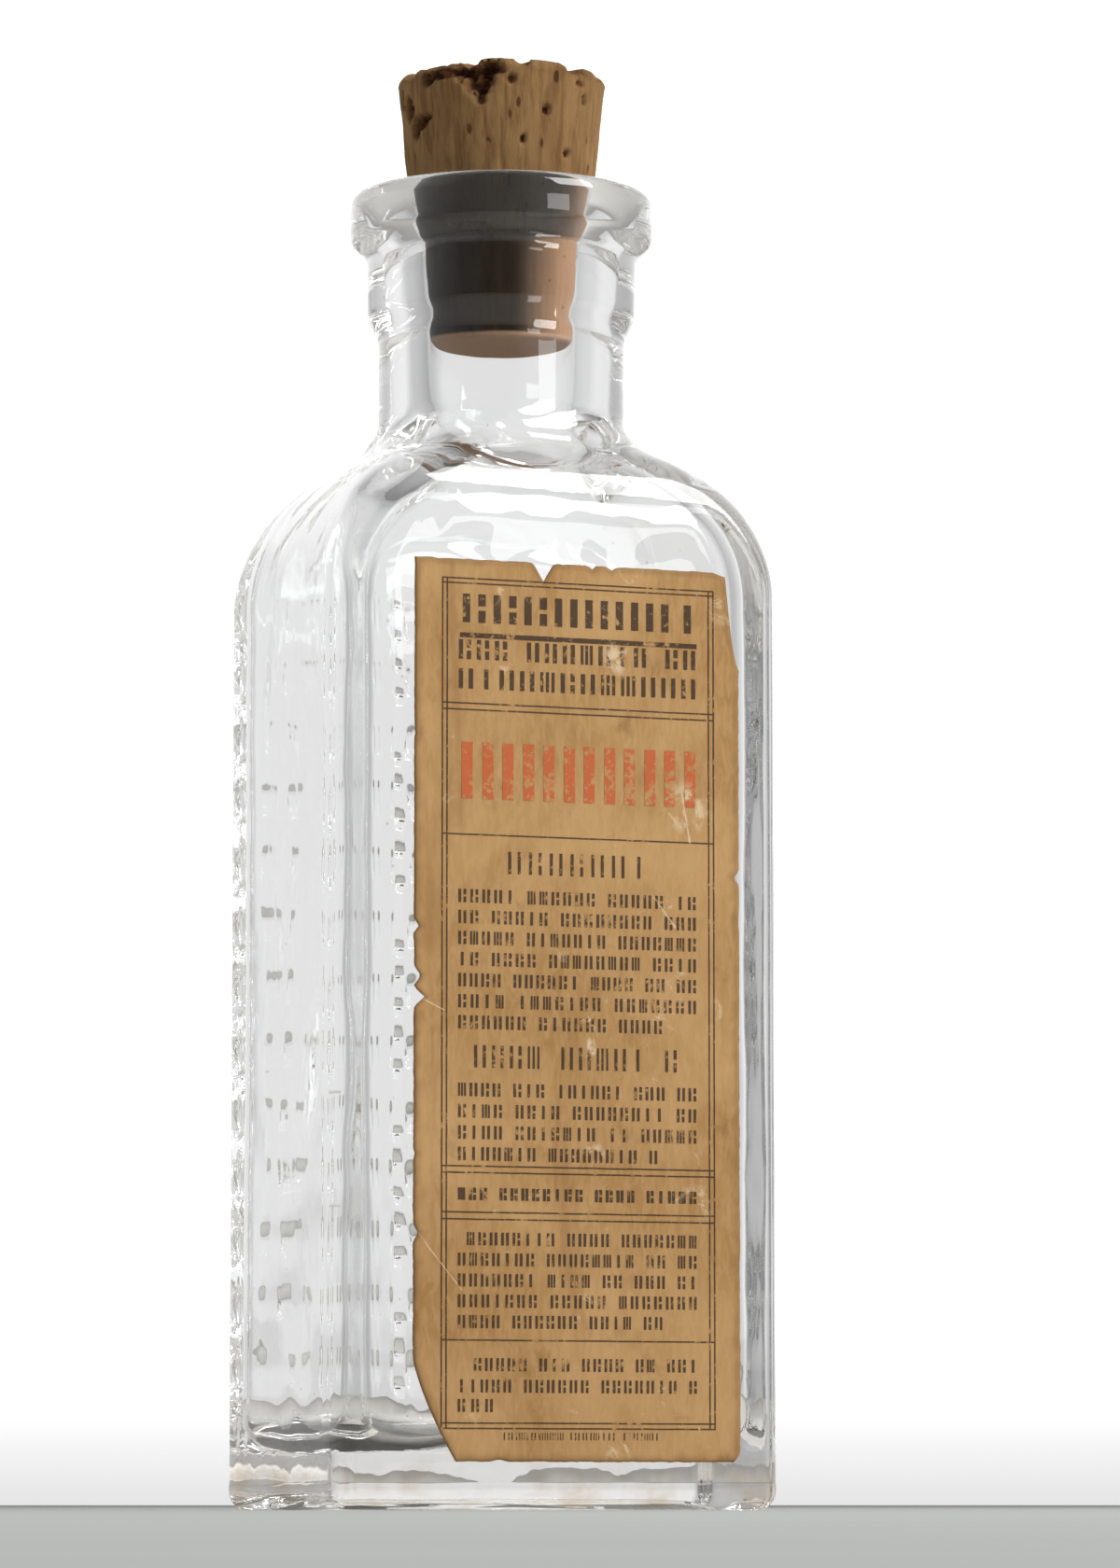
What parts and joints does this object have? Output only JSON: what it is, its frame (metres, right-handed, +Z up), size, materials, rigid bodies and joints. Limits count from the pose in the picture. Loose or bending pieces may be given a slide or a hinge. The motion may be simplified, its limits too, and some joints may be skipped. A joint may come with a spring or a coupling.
{
  "type": "medicine bottle",
  "caption": "Rectangular clear-glass medicine bottle with rounded shoulders, a collared neck, a tapered cork stopper and a torn paper label.",
  "frame": {"origin": "middle of the base, on the plane the bottle stands on and on the neck's axis", "axes": "+Z up along the neck's axis; the label is on the -Y face and the raised marks are on the +Y face; X runs along the bottle's width"},
  "size_m": [0.045, 0.0336, 0.1395],
  "materials": {
    "clear_glass": "clear moulded flint glass, slightly wavy, glossy, with a few dust specks",
    "cork": "old natural cork, dry and matte, darkened where it sits in the neck",
    "label_paper": "browned, stained, torn kraft-coloured paper with faded dark ruling"
  },
  "bodies": {
    "bottle": {"bottle_glass": "clear_glass", "paper_label": "label_paper"},
    "cork": {"cork_stopper": "cork"}
  },
  "joints": [
    {"name": "cork_pull", "type": "slide", "parent": "bottle", "child": "cork", "axis": [0, 0, 1], "range_m": [0, 0.045]}
  ]
}
